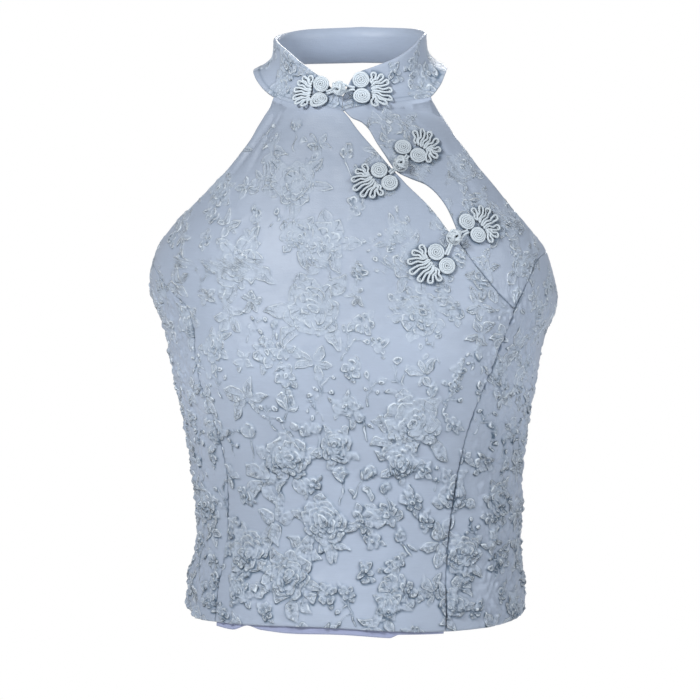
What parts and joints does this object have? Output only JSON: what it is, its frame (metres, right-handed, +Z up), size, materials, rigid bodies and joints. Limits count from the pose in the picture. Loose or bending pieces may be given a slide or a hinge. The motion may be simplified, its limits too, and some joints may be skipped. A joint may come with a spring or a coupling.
{
  "type": "chinese style halter top",
  "caption": "Fitted halter crop top with a stand collar and a slanting front closing fastened by frogs, filled out as worn.",
  "frame": {"origin": "centre of the neck, level with the sides of the collar's lower edge, where the wearer's neck holds the top", "axes": "+Z up along the wearer, +X to the wearer's left, the front faces -Y"},
  "size_m": [0.3099, 0.2166, 0.4529],
  "materials": {
    "cloth": "blistered satin jacquard, pale periwinkle grey, soft sheen",
    "facing": "plain smooth lavender grey facing",
    "cord": "twisted satin cord, pale blue grey, silky"
  },
  "bodies": {
    "root": {"front_main": "cloth", "front_upper_left": "cloth", "side_front_right": "cloth", "side_front_left": "cloth", "back_right": "cloth", "back_left": "cloth", "collar": "cloth", "hem_facing": "facing", "neck_disc_right_a": "cord", "neck_disc_right_b": "cord", "neck_disc_left_a": "cord", "neck_disc_left_b": "cord", "neck_fan_right": "cord", "neck_fan_left": "cord", "neck_knot": "cord", "neck_loop": "cord", "upper_disc_right_a": "cord", "upper_disc_right_b": "cord", "upper_disc_left_a": "cord", "upper_disc_left_b": "cord", "upper_fan_right": "cord", "upper_fan_left": "cord", "upper_knot": "cord", "upper_loop": "cord", "chest_disc_right_a": "cord", "chest_disc_right_b": "cord", "chest_disc_left_a": "cord", "chest_disc_left_b": "cord", "chest_fan_right": "cord", "chest_fan_left": "cord", "chest_knot": "cord", "chest_loop": "cord"}
  },
  "joints": []
}
